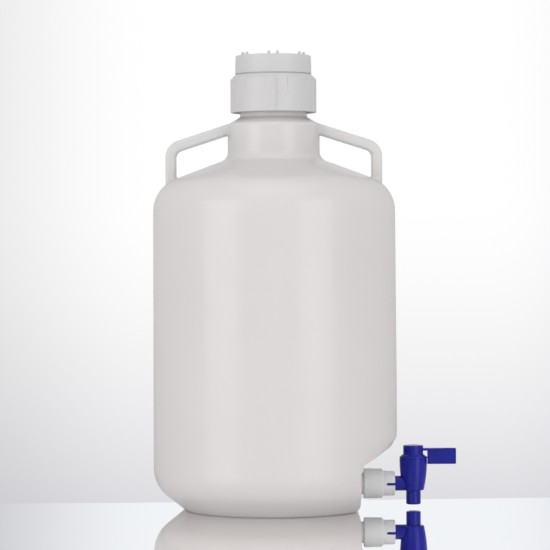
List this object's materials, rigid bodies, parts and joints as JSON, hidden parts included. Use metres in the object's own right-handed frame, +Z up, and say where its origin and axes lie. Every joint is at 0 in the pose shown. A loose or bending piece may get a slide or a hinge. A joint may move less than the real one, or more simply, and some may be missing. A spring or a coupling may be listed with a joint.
{
  "type": "carboy with tap",
  "caption": "Large translucent plastic carboy with lifting handles, a ribbed screw closure over a wide neck, and a lever tap on a threaded outlet in a recess at its foot.",
  "frame": {"origin": "centre of the ring that the bottle stands on, at the floor, on the bottle's axis", "axes": "+Z up along the bottle's axis; +X towards the tap; the handles lie at +X and -X"},
  "size_m": [0.3535, 0.285, 0.5326],
  "materials": {
    "bottle_plastic": "satin, translucent natural polyethylene",
    "handle_plastic": "satin, translucent natural polyethylene",
    "white_plastic": "satin white polypropylene",
    "gasket_foam": "matt pale foam",
    "grey_rubber": "matt grey",
    "blue_plastic": "glossy blue polyethylene",
    "black_rubber": "matt black"
  },
  "bodies": {
    "carboy": {"bottle": "bottle_plastic", "left_handle": "handle_plastic", "right_handle": "handle_plastic", "outlet_gasket": "grey_rubber", "outlet_nut": "white_plastic", "tap_body": "blue_plastic", "inner_stem_seal": "black_rubber", "outer_stem_seal": "black_rubber"},
    "lid": {"closure_lid": "white_plastic", "lid_gasket": "gasket_foam"},
    "ring": {"closure_ring": "white_plastic"},
    "lever": {"tap_lever": "blue_plastic", "tap_plug": "blue_plastic", "lower_plug_seal": "black_rubber", "upper_plug_seal": "black_rubber"}
  },
  "joints": [
    {"name": "closure_lift", "type": "slide", "parent": "carboy", "child": "lid", "axis": [0, 0, 1], "range_m": [0, 0.048]},
    {"name": "closure_turn", "type": "hinge", "parent": "lid", "child": "ring", "pos_m": [0, 0, 0.48], "axis": [0, 0, 1], "range_deg": [0, 2880]},
    {"name": "lever_turn", "type": "hinge", "parent": "carboy", "child": "lever", "pos_m": [0.161, 0, 0.05], "axis": [0, 0, 1], "range_deg": [-135, 135]}
  ],
  "couplings": [
    {"joint": "closure_lift", "follows": "closure_turn", "m_per_rad": 0.00095493}
  ]
}
